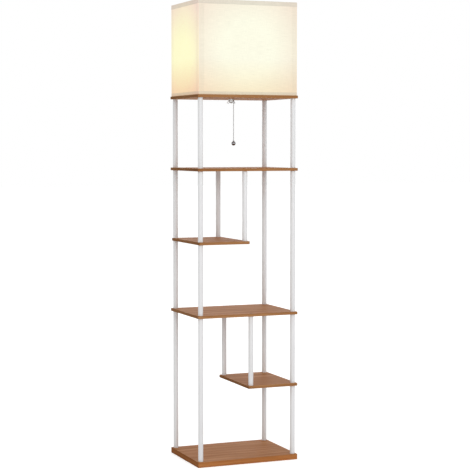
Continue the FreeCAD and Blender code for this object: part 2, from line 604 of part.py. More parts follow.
def make_bulb():
    """Screw-in bulb: end contact, glass insulator, screw cap and glass globe."""
    contact_bottom = SWITCH_TOP + CENTRE_CONTACT_HEIGHT + BULB_GAP
    contact_top = contact_bottom + END_CONTACT_HEIGHT
    cap_bottom = contact_top + BULB_INSULATOR_HEIGHT
    cap_top = cap_bottom + BULB_CAP_HEIGHT
    save("bulb_end_contact", disc(END_CONTACT_RADIUS, contact_bottom, contact_top, 0, LAMP_Y))
    save("bulb_insulator", turned([(0, contact_top), (BULB_INSULATOR_RADIUS, contact_top),
                                   (BULB_CAP_RADIUS - BULB_CAP_WALL, cap_bottom), (0, cap_bottom)], 0, LAMP_Y))
    save("bulb_screw_cap", sleeve(BULB_CAP_RADIUS, BULB_CAP_RADIUS - BULB_CAP_WALL, cap_bottom, cap_top,
                                  0, LAMP_Y))
    save("bulb_globe", globe(cap_top))


# ---------------------------------------------------------------- pull chain
def bead_chain(top_bead_z, beads, tail):
    """Chain of small faceted beads on short links; tail is the link's length below the last bead's centre."""
    rings = []
    for number in range(beads):
        centre_z = top_bead_z - number * BEAD_PITCH
        rings += [polygon_ring(BEAD_SIDES, LINK_RADIUS, centre_z + BEAD_HALF_HEIGHT),
                  polygon_ring(BEAD_SIDES, BEAD_RADIUS, centre_z),
                  polygon_ring(BEAD_SIDES, LINK_RADIUS, centre_z - BEAD_HALF_HEIGHT)]
    if tail > BEAD_HALF_HEIGHT:
        rings.append(polygon_ring(BEAD_SIDES, LINK_RADIUS, centre_z - tail))
    faces = [Part.Face(Part.makePolygon(ring + ring[:1])) for ring in (rings[0], rings[-1])]
    for upper, lower in zip(rings, rings[1:]):
        for side in range(BEAD_SIDES):
            after = (side + 1) % BEAD_SIDES
            corners = [upper[side], upper[after], lower[after], lower[side], upper[side]]
            faces.append(Part.Face(Part.makePolygon(corners)))
    shell = Part.makeShell(faces)
    shell.sewShape()
    return Part.makeSolid(Part.Shell(shell.Faces))


def make_pull_chain():
    """Lead chain through the board, connector with a cup at each end, drop chain and chrome ball."""
    upper_pivot = CEILING - UPPER_PIVOT_BELOW_BOARD
    lower_pivot = upper_pivot - CONNECTOR_LENGTH
    lead_top = upper_pivot + (LEAD_BEADS - 1) * BEAD_PITCH
    save("lead_chain", bead_chain(lead_top, LEAD_BEADS, BEAD_HALF_HEIGHT))
    save("pull_connector", turned([
        (0, lower_pivot + CUP_DEPTH), (CUP_RADIUS, lower_pivot + CUP_DEPTH), (CUP_RADIUS, lower_pivot),
        (CONNECTOR_RADIUS, lower_pivot), (CONNECTOR_RADIUS, upper_pivot), (CUP_RADIUS, upper_pivot),
        (CUP_RADIUS, upper_pivot - CUP_DEPTH), (0, upper_pivot - CUP_DEPTH)]))
    save("drop_chain", bead_chain(lower_pivot, DROP_BEADS, END_LINK))
    collar_top = lower_pivot - (DROP_BEADS - 1) * BEAD_PITCH - END_LINK
    collar_bottom = collar_top - BALL_COLLAR_HEIGHT
    ball_centre = collar_bottom - math.sqrt(BALL_RADIUS ** 2 - BALL_COLLAR_RADIUS ** 2)
    ball = Part.makeSphere(BALL_RADIUS, Vector(0, 0, ball_centre))
    collar = disc(BALL_COLLAR_RADIUS, ball_centre, collar_top)
    save("pull_ball", ball.fuse(collar).removeSplitter())


os.makedirs("parts", exist_ok=True)
make_boards()
make_tubes()
make_bolts()
make_shade()
make_lampholder()
make_bulb()
make_pull_chain()
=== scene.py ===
"""Shelf floor lamp: finishes, detailed pieces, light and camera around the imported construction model.

Lengths are in metres, in the construction model's frame: X runs along the front to the right, Y to the back
and Z up, with the origin on the floor under the middle of the base board.
"""

import logging
import math
from dataclasses import dataclass
from enum import Enum
from functools import cached_property
from typing import Any, Iterable, Optional, Sequence

import bmesh
import bpy
from mathutils import Matrix, Vector

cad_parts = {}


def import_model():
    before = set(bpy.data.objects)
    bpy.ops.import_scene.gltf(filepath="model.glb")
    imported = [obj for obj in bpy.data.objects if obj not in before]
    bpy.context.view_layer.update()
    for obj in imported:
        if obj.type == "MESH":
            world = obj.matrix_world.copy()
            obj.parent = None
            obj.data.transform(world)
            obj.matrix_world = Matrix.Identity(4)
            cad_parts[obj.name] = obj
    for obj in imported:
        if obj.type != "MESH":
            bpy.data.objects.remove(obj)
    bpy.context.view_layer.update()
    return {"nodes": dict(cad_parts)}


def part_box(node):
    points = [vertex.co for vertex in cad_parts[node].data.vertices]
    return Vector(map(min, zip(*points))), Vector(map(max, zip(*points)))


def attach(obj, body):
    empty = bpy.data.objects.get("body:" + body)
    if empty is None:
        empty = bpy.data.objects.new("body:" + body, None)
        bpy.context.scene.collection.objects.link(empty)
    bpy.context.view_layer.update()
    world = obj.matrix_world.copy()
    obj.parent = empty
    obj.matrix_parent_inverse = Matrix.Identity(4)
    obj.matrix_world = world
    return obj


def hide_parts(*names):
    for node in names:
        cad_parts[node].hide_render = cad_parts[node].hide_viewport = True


MM = 0.001
TURN = 2 * math.pi
MERGE_DISTANCE = 0.005 * MM
ROUND_BEVEL = 0.5
NOISE_RANGE = (0.3, 0.7)  # the soft noise seldom leaves it
ROD_STEPS = 32
LAMP_AXIS_Y = 21.5 * MM  # the lampholder and the bulb stand behind the middle
BULB_THREAD_PITCH = 3.6 * MM
ROLLED_WALL = 0.3 * MM  # sheet of the bulb's thread and of the shell that it screws into
Triple = tuple[float, float, float]
Profile = list[tuple[float, float]]
Socket = bpy.types.NodeSocket
Material = bpy.types.Material
Piece = bpy.types.Object
Mesh = bmesh.types.BMesh
log = logging.getLogger("shelf_lamp")


class Body(Enum):
    """Moving bodies of the lamp."""

    STAND = "stand"
    BULB = "bulb"
    LEAD = "pull_lead"
    LINK = "pull_link"
    DROP = "pull_drop"


class Slot(Enum):
    """Material slots of the record."""

    BOARD = "board"
    TUBE = "tube"
    SCREW = "screw"
    BROWN_SCREW = "brown_screw"
    LINEN = "linen"
    HEM = "hem"
    WIRE = "wire"
    ZINC = "zinc"
    HOLDER = "holder"
    FIBRE = "fibre"
    PHENOLIC = "phenolic"
    BRASS = "brass"
    INSULATOR = "black_glass"
    BULB_CAP = "bulb_cap"
    GLOBE = "globe"
    CHAIN = "chain"
    BALL = "ball"


# ------------------------------------------------------------ node graphs
class Graph:
    """Builds the nodes of one tree."""

    def __init__(self, tree: bpy.types.NodeTree) -> None:
        """Start on a tree of nodes."""
        self.tree = tree

    def node(self, kind: str, inputs: Optional[dict[Any, Any]] = None, **settings: Any) -> bpy.types.Node:
        """Add a node.

        Args:
            kind: the node's type.
            inputs: value or socket for each input, by name or number.
            settings: attributes of the node.

        Returns:
            The new node.
        """
        made = self.tree.nodes.new(kind)
        for key, value in settings.items():
            setattr(made, key, value)
        for key, value in (inputs or {}).items():
            self.feed(made.inputs[key], value)
        return made

    def feed(self, socket: Socket, value: Any) -> None:
        """Link a socket or set a constant on an input.

        Args:
            socket: the input.
            value: an output socket or a constant.
        """
        if isinstance(value, bpy.types.NodeSocket):
            self.tree.links.new(value, socket)
        elif isinstance(value, tuple) and socket.type == "RGBA":
            socket.default_value = (*value, 1.0)
        else:
            socket.default_value = value

    def split(self, vector: Socket) -> tuple[Socket, Socket, Socket]:
        """X, Y and Z of a vector."""
        made = self.node("ShaderNodeSeparateXYZ", {"Vector": vector})
        return made.outputs["X"], made.outputs["Y"], made.outputs["Z"]

    def join(self, x: Any, y: Any, z: Any) -> Socket:
        """Vector from X, Y and Z."""
        return self.node("ShaderNodeCombineXYZ", {"X": x, "Y": y, "Z": z}).outputs["Vector"]

    def math(self, operation: str, first: Any, second: Any = 0.0, clamp: bool = False) -> Socket:
        """Result of a named operation on two values, kept between 0 and 1 where it is clamped."""
        made = self.node("ShaderNodeMath", {0: first, 1: second}, operation=operation, use_clamp=clamp)
        return made.outputs["Value"]

    def plus(self, first: Any, *others: Any) -> Socket:
        """Sum of two or more values."""
        for other in others:
            first = self.math("ADD", first, other)
        return first

    def minus(self, first: Any, second: Any) -> Socket:
        """Difference of two values."""
        return self.math("SUBTRACT", first, second)

    def times(self, first: Any, second: Any) -> Socket:
        """Product of two values."""
        return self.math("MULTIPLY", first, second)

    def size(self, value: Socket) -> Socket:
        """Value without its sign."""
        return self.math("ABSOLUTE", value)

    def above(self, value: Socket, limit: float) -> Socket:
        """One where a value is above a limit, else zero."""
        return self.math("GREATER_THAN", value, limit)

    def below(self, value: Socket, limit: float) -> Socket:
        """One where a value is below a limit, else zero."""
        return self.math("LESS_THAN", value, limit)

    def stretch(self, vector: Socket, scale: Triple) -> Socket:
        """Vector scaled along each axis."""
        return self.node("ShaderNodeMapping", {"Vector": vector, "Scale": scale}).outputs["Vector"]

    def noise(self, vector: Socket, scale: Any, detail: float = 2.0) -> Socket:
        """Soft noise between 0 and 1; a scale for each axis draws it out into streaks."""
        if isinstance(scale, tuple):
            vector, scale = self.stretch(vector, scale), 1.0
        made = self.node("ShaderNodeTexNoise", {"Vector": vector, "Scale": scale, "Detail": detail})
        return made.outputs["Fac"]

    def remap(self, value: Socket, low: float, high: float, to_low: float = 0.0,
              to_high: float = 1.0) -> Socket:
        """Value carried from the range low to high into the range to_low to to_high, clamped."""
        ends = {"Value": value, "From Min": low, "From Max": high, "To Min": to_low, "To Max": to_high}
        return self.node("ShaderNodeMapRange", ends).outputs["Result"]

    def spread(self, noise: Socket, low: float, high: float) -> Socket:
        """Noise drawn out between two values."""
        return self.remap(noise, *NOISE_RANGE, low, high)

    def mix(self, share: Any, first: Any, second: Any, way: str = "MIX") -> Socket:
        """Colour mix.

        Args:
            share: share of the second colour.
            first: first colour.
            second: second colour.
            way: the blend type.

        Returns:
            The mixed colour.
        """
        made = self.node("ShaderNodeMix", data_type="RGBA", blend_type=way)
        self.feed(made.inputs["Factor"], share)
        colours = [socket for socket in made.inputs if socket.type == "RGBA"]
        self.feed(colours[0], first)
        self.feed(colours[1], second)
        return next(socket for socket in made.outputs if socket.type == "RGBA")

    def tint(self, colour: Any, by: Any) -> Socket:
        """Colour multiplied by another."""
        return self.mix(1.0, colour, by, "MULTIPLY")

    def dim(self, colour: Any, light: Socket) -> Socket:
        """Colour multiplied by one value in all its channels."""
        return self.tint(colour, self.join(light, light, light))

    def bump(self, height: Socket, depth: float, strength: float = 1.0) -> Socket:
        """Normal disturbed by a height of a real depth."""
        made = self.node("ShaderNodeBump", {"Height": height, "Distance": depth, "Strength": strength})
        return made.outputs["Normal"]

    def plain_rays(self) -> Socket:
        """One for camera, mirror and glass rays, which see a plain white surround."""
        rays = self.node("ShaderNodeLightPath").outputs
        seen = self.math("ADD", rays["Is Camera Ray"], rays["Is Glossy Ray"], clamp=True)
        return self.math("ADD", seen, rays["Is Transmission Ray"], clamp=True)


class Painter(Graph):
    """Builds the node graph of one procedural material."""

    def __init__(self, name: str) -> None:
        """Start a material.

        Args:
            name: the material's name.
        """
        self.material = bpy.data.materials.new(name)
        self.material.use_nodes = True
        super().__init__(self.material.node_tree)
        self.shader = self.tree.nodes["Principled BSDF"]

    def shade(self, **inputs: Any) -> None:
        """Set inputs of the principled shader, with underscores for the spaces in their names."""
        for key, value in inputs.items():
            self.feed(self.shader.inputs[key.replace("_", " ")], value)

    @cached_property
    def place(self) -> Socket:
        """Object coordinates."""
        return self.node("ShaderNodeTexCoord").outputs["Object"]

    @cached_property
    def normal(self) -> Socket:
        """Normal in object space."""
        return self.node("ShaderNodeTexCoord").outputs["Normal"]


# ------------------------------------------------------------ finishes
@dataclass(frozen=True)
class Finish:
    """Procedural material under its name."""

    name: str

    def draw(self, paint: Painter) -> None:
        """Build the graph of the finish."""
        raise NotImplementedError

    def material(self) -> Material:
        """Return the finished material."""
        paint = Painter(self.name)
        self.draw(paint)
        return paint.material


@dataclass(frozen=True)
class WoodLaminate(Finish):
    """Satin wood-grain laminate on the boards, with a banded edge."""

    name: str = "wood_laminate"
    mid: Triple = (0.44, 0.195, 0.072)
    dark: Triple = (0.31, 0.122, 0.040)
    light: Triple = (0.54, 0.28, 0.125)
    seam: Triple = (0.16, 0.07, 0.03)
    edge_tint: Triple = (0.875, 0.965, 1.06)
    base_tint: Triple = (1.07, 0.98, 0.87)
    # painted shade: the end faces at the left and right of each board are darkened
    painted_end_shade: Triple = (0.68, 0.66, 0.64)
    wander_scale: Triple = (2.5, 9.0, 1.0)
    broad_scale: Triple = (3.0, 75.0, 1.0)
    fine_scale: Triple = (28.0, 1100.0, 1.0)
    pore_scale: Triple = (70.0, 2600.0, 1.0)
    wander: float = 0.05
    board_step: float = 9.0  # sets the grain of one board apart from the next
    level_pitch: float = 236 * MM
    top_in_pitch: float = 18 * MM  # upper face of the base, and of each board above its level
    seam_width: float = 0.45 * MM
    seam_below_top: float = 1.2 * MM
    relief: float = 0.06 * MM
    roughness: float = 0.56
    edge_roughness: float = 0.32
    gloss: float = 0.06

    def draw(self, paint: Painter) -> None:
        """Build the grain, the banded edges, the painted shade on the end faces and the joint line under the
        upper face.
        """
        x, y, z = paint.split(paint.place)
        normal_x, _, normal_z = paint.split(paint.normal)
        face = paint.above(paint.size(normal_z), 0.5)
        edge = paint.minus(1.0, face)
        end = paint.above(paint.size(normal_x), 0.7)
        along = paint.plus(x, paint.times(y, edge))
        across = paint.plus(paint.times(y, face), paint.times(z, edge))
        board = paint.times(paint.math("SNAP", z, self.level_pitch / 2), self.board_step)
        grain = paint.join(along, across, board)
        wander = paint.times(paint.noise(grain, self.wander_scale, 3.0), self.wander)
        broad = paint.noise(paint.join(along, paint.plus(across, wander), board), self.broad_scale, 4.0)
        fine = paint.noise(grain, self.fine_scale, 3.0)
        pores = paint.noise(grain, self.pore_scale, 1.0)
        colour = paint.mix(paint.remap(broad, 0.32, 0.62), self.dark, self.mid)
        colour = paint.mix(paint.remap(broad, 0.52, 0.75, 0.0, 0.75), colour, self.light)
        colour = paint.mix(paint.remap(fine, 0.35, 0.65, 0.0, 0.35), colour, self.dark)
        colour = paint.mix(paint.remap(pores, 0.62, 0.72, 0.0, 0.45), colour, self.seam)
        tint = paint.mix(paint.below(z, self.top_in_pitch), self.edge_tint, self.base_tint)
        colour = paint.mix(edge, colour, paint.tint(colour, tint))
        # painted shade: darken the end faces of the boards
        colour = paint.mix(end, colour, paint.tint(colour, self.painted_end_shade))
        height = paint.math("MODULO", z, self.level_pitch)
        from_seam = paint.size(paint.minus(self.top_in_pitch - self.seam_below_top, height))
        line = paint.times(paint.below(from_seam, self.seam_width / 2), edge)
        colour = paint.mix(paint.times(line, 0.6), colour, self.seam)
        relief = paint.minus(fine, paint.remap(pores, 0.6, 0.72, 0.0, 0.6))
        rough = paint.plus(paint.spread(broad, self.roughness + 0.06, self.roughness - 0.05),
                           paint.times(edge, self.edge_roughness))
        paint.shade(Base_Color=colour, Roughness=rough, Normal=paint.bump(relief, self.relief, 0.5),
                    Specular_IOR_Level=self.gloss)


@dataclass(frozen=True)
class Lacquer(Finish):
    """Sprayed satin lacquer with a fine orange-peel surface and slightly rubbed spots."""

    colour: Triple
    rubbed: Triple
    roughness: float
    cloud_scale: float = 14.0
    peel_scale: float = 420.0
    grain_scale: float = 2600.0
    peel_depth: float = 0.03 * MM
    gloss: float = 0.35

    def draw(self, paint: Painter) -> None:
        """Build the clouded colour and the orange peel."""
        cloud = paint.noise(paint.place, self.cloud_scale, 3.0)
        peel = paint.noise(paint.place, self.peel_scale, 1.0)
        grain = paint.noise(paint.place, self.grain_scale, 0.0)
        colour = paint.mix(paint.remap(cloud, 0.35, 0.75, 0.0, 0.6), self.colour, self.rubbed)
        rough = paint.spread(cloud, self.roughness - 0.05, self.roughness + 0.08)
        height = paint.plus(peel, paint.times(grain, 0.15))
        paint.shade(Base_Color=colour, Roughness=rough, Normal=paint.bump(height, self.peel_depth, 0.6),
                    Specular_IOR_Level=self.gloss)


@dataclass(frozen=True)
class Light:
    """Light of the bulb in one face of the cloth: near it, far from it, and the tint of the lowest part."""

    near: Triple
    far: Triple
    low_tint: Triple
    height: float
    near_reach: float
    far_reach: float


@dataclass(frozen=True)
class Glow:
    """Light of the bulb in the cloth around it, by the distance from the bulb and by height."""

    front: Light = Light(near=(0.63, 0.635, 0.508), far=(0.565, 0.463, 0.372), low_tint=(0.97, 0.845, 0.62),
                         height=1346 * MM, near_reach=172 * MM, far_reach=254 * MM)
    side: Light = Light(near=(0.745, 0.728, 0.394), far=(0.652, 0.468, 0.383), low_tint=(0.90, 0.58, 0.47),
                        height=1307 * MM, near_reach=190 * MM, far_reach=277 * MM)
    low_start: float = 1314 * MM
    low_end: float = 1199 * MM
    turn_start: float = 0.3  # sideways part of the normal, from the front face round to the side
    turn_end: float = 0.8

    def face(self, paint: Painter, light: Light) -> Socket:
        """Colour of the glow in a front or side face.

        Args:
            paint: the graph to build in.
            light: the colours of that face.

        Returns:
            The emission colour.
        """
        middle = (0.0, LAMP_AXIS_Y, light.height)
        reach = paint.node("ShaderNodeVectorMath", {0: paint.place, 1: middle}, operation="DISTANCE")
        fade = paint.remap(reach.outputs["Value"], light.near_reach, light.far_reach)
        colour = paint.mix(fade, light.near, light.far)
        low = paint.remap(paint.split(paint.place)[2], self.low_start, self.low_end)
        return paint.mix(low, colour, paint.tint(colour, light.low_tint))

    def colour(self, paint: Painter, share: float) -> Socket:
        """Colour of the glow at a point of the surface.

        Args:
            paint: the graph to build in.
            share: share of the light that gets through the cloth.

        Returns:
            The emission colour.
        """
        sideways = paint.remap(paint.size(paint.split(paint.normal)[0]), self.turn_start, self.turn_end)
        colour = paint.mix(sideways, self.face(paint, self.front), self.face(paint, self.side))
        return paint.tint(colour, grey(share))


@dataclass(frozen=True)
class Linen(Finish):
    """Woven linen with slubs, lit through by the bulb."""

    colour: Triple
    share: float
    glow: Glow = Glow()
    thread_pitch: float = 0.75 * MM
    thread_depth: float = 0.18 * MM
    slub_scale: Triple = (35.0, 900.0, 1.0)
    upright_scale: Triple = (900.0, 35.0, 1.0)
    cloud_scale: float = 9.0
    side_lead: float = 45 * MM  # half width less half depth of the shade
    corner: tuple[float, float] = (172 * MM, 127 * MM)
    # painted highlight: the glow is a little brighter near the upright corners
    corner_highlight_fade: tuple[float, float] = (-7 * MM, -3 * MM)
    painted_corner_highlight: float = 1.04
    roughness: float = 0.88

    def draw(self, paint: Painter) -> None:
        """Build the weave along the cloth, which runs round the shade and over its folds."""
        x, y, z = paint.split(paint.place)
        out_x, out_y = paint.size(x), paint.size(y)
        side = paint.above(paint.minus(out_x, out_y), self.side_lead)
        front = paint.minus(1.0, side)
        around = paint.plus(paint.times(x, front), paint.times(y, side))
        up = paint.plus(z, paint.plus(paint.times(out_y, front), paint.times(out_x, side)))
        cloth = paint.join(around, up, side)
        slub = paint.noise(cloth, self.slub_scale, 3.0)
        upright_slub = paint.noise(cloth, self.upright_scale)
        cloud = paint.noise(cloth, self.cloud_scale)
        turns = TURN / self.thread_pitch
        weft = paint.math("SINE", paint.times(up, turns))
        warp = paint.math("SINE", paint.times(around, turns))
        cross = paint.times(weft, warp)
        threads = paint.plus(paint.times(cross, 0.5), paint.plus(slub, upright_slub))
        tone = paint.plus(paint.spread(slub, 0.945, 1.04), paint.spread(upright_slub, -0.025, 0.02),
                          paint.spread(cloud, -0.015, 0.015), paint.times(cross, 0.025))
        start, end = self.corner_highlight_fade
        near_x, near_y = (paint.remap(out, corner + start, corner + end)
                          for out, corner in zip((out_x, out_y), self.corner))
        # painted highlight: raise the glow at the upright corners of the shade
        corner_highlight = paint.remap(paint.times(near_x, near_y), 0.0, 1.0, 1.0, self.painted_corner_highlight)
        lit = paint.dim(self.glow.colour(paint, self.share), paint.times(tone, corner_highlight))
        paint.shade(Base_Color=paint.dim(self.colour, tone), Roughness=self.roughness,
                    Normal=paint.bump(threads, self.thread_depth, 0.7), Specular_IOR_Level=0.2,
                    Sheen_Weight=0.15, Sheen_Roughness=0.5, Emission_Color=lit, Emission_Strength=1.0)


@dataclass(frozen=True)
class LiningFilm(Finish):
    """Smooth white film that stiffens the shade, on its inside."""

    name: str = "shade_lining"
    colour: Triple = (0.62, 0.60, 0.55)
    stain: Triple = (0.55, 0.52, 0.46)
    share: float = 0.62
    glow: Glow = Glow()

    def draw(self, paint: Painter) -> None:
        """Build the clouded film."""
        cloud = paint.noise(paint.place, 22.0)
        grain = paint.noise(paint.place, 1500.0, 1.0)
        colour = paint.mix(paint.spread(cloud, 0.0, 0.3), self.colour, self.stain)
        paint.shade(Base_Color=colour, Roughness=0.5, Normal=paint.bump(grain, 0.03 * MM, 0.4),
                    Emission_Color=self.glow.colour(paint, self.share), Emission_Strength=1.0)


@dataclass(frozen=True)
class PlatedMetal(Finish):
    """Plated or bare metal with fine turning marks, clouding and a few dull spots."""

    colour: Triple
    dull: Triple
    roughness: float
    marks: float = 900.0
    depth: float = 0.01 * MM

    def draw(self, paint: Painter) -> None:
        """Build the clouded metal and its marks."""
        cloud = paint.noise(paint.place, 160.0, 3.0)
        marks = paint.noise(paint.stretch(paint.place, (0.15, 0.15, 1.0)), self.marks * 4)
        spots = paint.noise(paint.place, self.marks)
        colour = paint.mix(paint.remap(cloud, 0.4, 0.75, 0.0, 0.8), self.colour, self.dull)
        rough = paint.plus(paint.remap(spots, 0.4, 0.7, 0.0, 0.08),
                           paint.spread(cloud, self.roughness, self.roughness + 0.07))
        paint.shade(Base_Color=colour, Metallic=1.0, Roughness=rough,
                    Normal=paint.bump(marks, self.depth, 0.5))


@dataclass(frozen=True)
class OpalGlass(Finish):
    """Frosted glass of the lit bulb, brightest round its middle and dimmer at the neck."""

    name: str = "opal_glass"
    colour: Triple = (0.55, 0.53, 0.48)
    core: Triple = (0.62, 0.59, 0.50)
    rim: Triple = (0.55, 0.42, 0.24)
    neck_z: float = 1283 * MM
    middle_z: float = 1312 * MM
    cloud_height: float = 3 * MM

    def draw(self, paint: Painter) -> None:
        """Build the frost and the light of the bulb."""
        frost = paint.noise(paint.place, 900.0)
        cloud = paint.noise(paint.place, 40.0)
        height = paint.plus(paint.split(paint.place)[2],
                            paint.spread(cloud, -self.cloud_height, self.cloud_height))
        lit = paint.mix(paint.remap(height, self.neck_z, self.middle_z), self.rim, self.core)
        paint.shade(Base_Color=self.colour, Roughness=paint.spread(frost, 0.28, 0.4),
                    Normal=paint.bump(frost, 0.01 * MM, 0.3), Emission_Color=lit, Emission_Strength=1.0)


@dataclass(frozen=True)
class Moulded(Finish):
    """Moulded insulator with a fine matt or glossy skin."""

    colour: Triple
    fleck: Triple
    roughness: float

    def draw(self, paint: Painter) -> None:
        """Build the flecks and the skin."""
        fleck = paint.noise(paint.place, 700.0, 3.0)
        skin = paint.noise(paint.place, 2400.0, 1.0)
        colour = paint.mix(paint.remap(fleck, 0.45, 0.7, 0.0, 0.7), self.colour, self.fleck)
        rough = paint.spread(fleck, self.roughness, self.roughness + 0.1)
        paint.shade(Base_Color=colour, Roughness=rough, Normal=paint.bump(skin, 0.02 * MM, 0.5))


def grey(value: float) -> Triple:
    """Colour with one value in all its channels."""
    return value, value, value


def make_finishes() -> dict[Slot, Material]:
    """Material of each slot of the record."""
    finishes: dict[Slot, Finish] = {
        Slot.BOARD: WoodLaminate(),
        Slot.TUBE: Lacquer("white_lacquer", (0.73, 0.73, 0.735), grey(0.70), 0.42),
        Slot.WIRE: Lacquer("wire_lacquer", (0.80, 0.78, 0.72), (0.70, 0.68, 0.62), 0.42),
        Slot.BROWN_SCREW: Lacquer("brown_lacquer", (0.17, 0.075, 0.03), (0.12, 0.05, 0.02), 0.5),
        Slot.LINEN: Linen("lit_linen", (0.335, 0.32, 0.275), 1.0),
        Slot.HEM: Linen("hem_linen", (0.42, 0.40, 0.345), 0.56),
        Slot.SCREW: PlatedMetal("bolt_steel", grey(0.62), grey(0.42), 0.32),
        Slot.ZINC: PlatedMetal("zinc_plate", (0.60, 0.60, 0.59), grey(0.46), 0.26),
        Slot.HOLDER: PlatedMetal("nickel_plate", (0.70, 0.68, 0.63), (0.52, 0.50, 0.46), 0.2),
        Slot.BRASS: PlatedMetal("brass_sheet", (0.78, 0.55, 0.24), (0.55, 0.36, 0.14), 0.24),
        Slot.BULB_CAP: PlatedMetal("bulb_aluminium", grey(0.80), grey(0.66), 0.26),
        Slot.CHAIN: PlatedMetal("chain_nickel", grey(0.42), grey(0.34), 0.2),
        Slot.BALL: PlatedMetal("ball_chrome", (0.23, 0.23, 0.24), (0.25, 0.25, 0.26), 0.07, marks=400.0,
                               depth=0.002 * MM),
        Slot.FIBRE: Moulded("lining_fibre", (0.30, 0.22, 0.15), (0.22, 0.15, 0.10), 0.7),
        Slot.PHENOLIC: Moulded("dark_phenolic", (0.03, 0.022, 0.018), (0.05, 0.035, 0.03), 0.45),
        Slot.INSULATOR: Moulded("insulator_glass", (0.012, 0.012, 0.015), (0.02, 0.02, 0.025), 0.08),
        Slot.GLOBE: OpalGlass(),
    }
    return {slot: finish.material() for slot, finish in finishes.items()}


# ------------------------------------------------------------ mesh helpers
def place_object(name: str, data: Any) -> Piece:
    """New object with its data in the scene."""
    made = bpy.data.objects.new(name, data)
    bpy.context.scene.collection.objects.link(made)
    return made


def bake(made: Mesh, name: str) -> bpy.types.Mesh:
    """Named mesh from one under construction, which is used up."""
    mesh = bpy.data.meshes.new(name)
    made.to_mesh(mesh)
    made.free()
    return mesh


def arc(centre: tuple[float, float], radius: float, start: float, end: float, steps: int) -> Profile:
    """Points on an arc of a (radius, height) profile, with angles in degrees from outward towards up."""
    angles = [math.radians(start + (end - start) * step / steps) for step in range(steps + 1)]
    return [(centre[0] + radius * math.cos(angle), centre[1] + radius * math.sin(angle)) for angle in angles]


def neighbours(row: list[Any], closed: bool) -> list[tuple[Any, Any]]:
    """Each item of a row with the next one, and the last with the first if it is closed."""
    return list(zip(row, row[1:] + row[:1] if closed else row[1:]))


def lathe(profile: Profile, steps: int, x: float = 0.0, y: float = 0.0, closed: bool = False,
          rise: float = 0.0) -> Mesh:
    """Spin a (radius, height) profile about an upright axis.

    Args:
        profile: the points of the profile.
        steps: faces in a full turn.
        x: place of the axis.
        y: place of the axis.
        closed: join the last point to the first.
        rise: climb of one full turn, for a thread.

    Returns:
        The turned mesh.
    """
    made = bmesh.new()
    points = [made.verts.new((x + radius, y, height)) for radius, height in profile]
    edges = [made.edges.new(pair) for pair in neighbours(points, closed)]
    bmesh.ops.spin(made, geom=points + edges, cent=(x, y, 0.0), axis=(0.0, 0.0, 1.0),
                   dvec=(0.0, 0.0, rise / steps), angle=TURN, steps=steps, use_merge=rise == 0.0)
    bmesh.ops.remove_doubles(made, verts=made.verts, dist=MERGE_DISTANCE)
    bmesh.ops.recalc_face_normals(made, faces=made.faces)
    return made


def soften(made: Mesh, width: float, segments: int = 2, least_angle: float = 30.0) -> None:
    """Bevel the sharp edges of a mesh.

    Args:
        made: the mesh.
        width: width of the bevel.
        segments: faces across the bevel.
        least_angle: smallest angle in degrees of an edge that is bevelled.
    """
    limit = math.radians(least_angle)
    sharp = [edge for edge in made.edges if len(edge.link_faces) == 2 and edge.calc_face_angle(0.0) > limit]
    bmesh.ops.bevel(made, geom=sharp, offset=width, offset_type="OFFSET", segments=segments,
                    profile=ROUND_BEVEL, affect="EDGES", clamp_overlap=True, material=-1)


def absorb(target: Mesh, part: Mesh) -> None:
    """Move the geometry of one mesh into another.

    Args:
        target: the mesh that grows.
        part: the mesh that is used up.
    """
    carrier = bake(part, "carrier")
    target.from_mesh(carrier)
    bpy.data.meshes.remove(carrier)


def rod(radius: float, start: Vector, end: Vector) -> Mesh:
    """Round rod between two points.

    Args:
        radius: the rod's radius.
        start: centre of one end.
        end: centre of the other end.

    Returns:
        The rod's mesh.
    """
    made = bmesh.new()
    along = end - start
    turn = Vector((0, 0, 1)).rotation_difference(along).to_matrix().to_4x4()
    bmesh.ops.create_cone(made, cap_ends=True, segments=ROD_STEPS, radius1=radius, radius2=radius,
                          depth=along.length, matrix=Matrix.Translation((start + end) / 2) @ turn)
    return made


def cut(made: Mesh, point: Vector, normal: Vector, **clear: bool) -> None:
    """Cut a mesh along a plane, and clear what lies behind (clear_inner) or before it (clear_outer)."""
    everything = [*made.verts, *made.edges, *made.faces]
    bmesh.ops.bisect_plane(made, geom=everything, dist=MERGE_DISTANCE, plane_co=point, plane_no=normal,
                           **clear)


def thicken(made: Mesh, wall: float) -> None:
    """Give an open sheet a wall on its inner side.

    Args:
        made: the sheet.
        wall: thickness of the wall.
    """
    outward = max(made.faces, key=lambda face: face.calc_center_median().x)
    if outward.normal.x < 0.0:
        bmesh.ops.reverse_faces(made, faces=made.faces)
    bmesh.ops.solidify(made, geom=made.faces, thickness=wall)


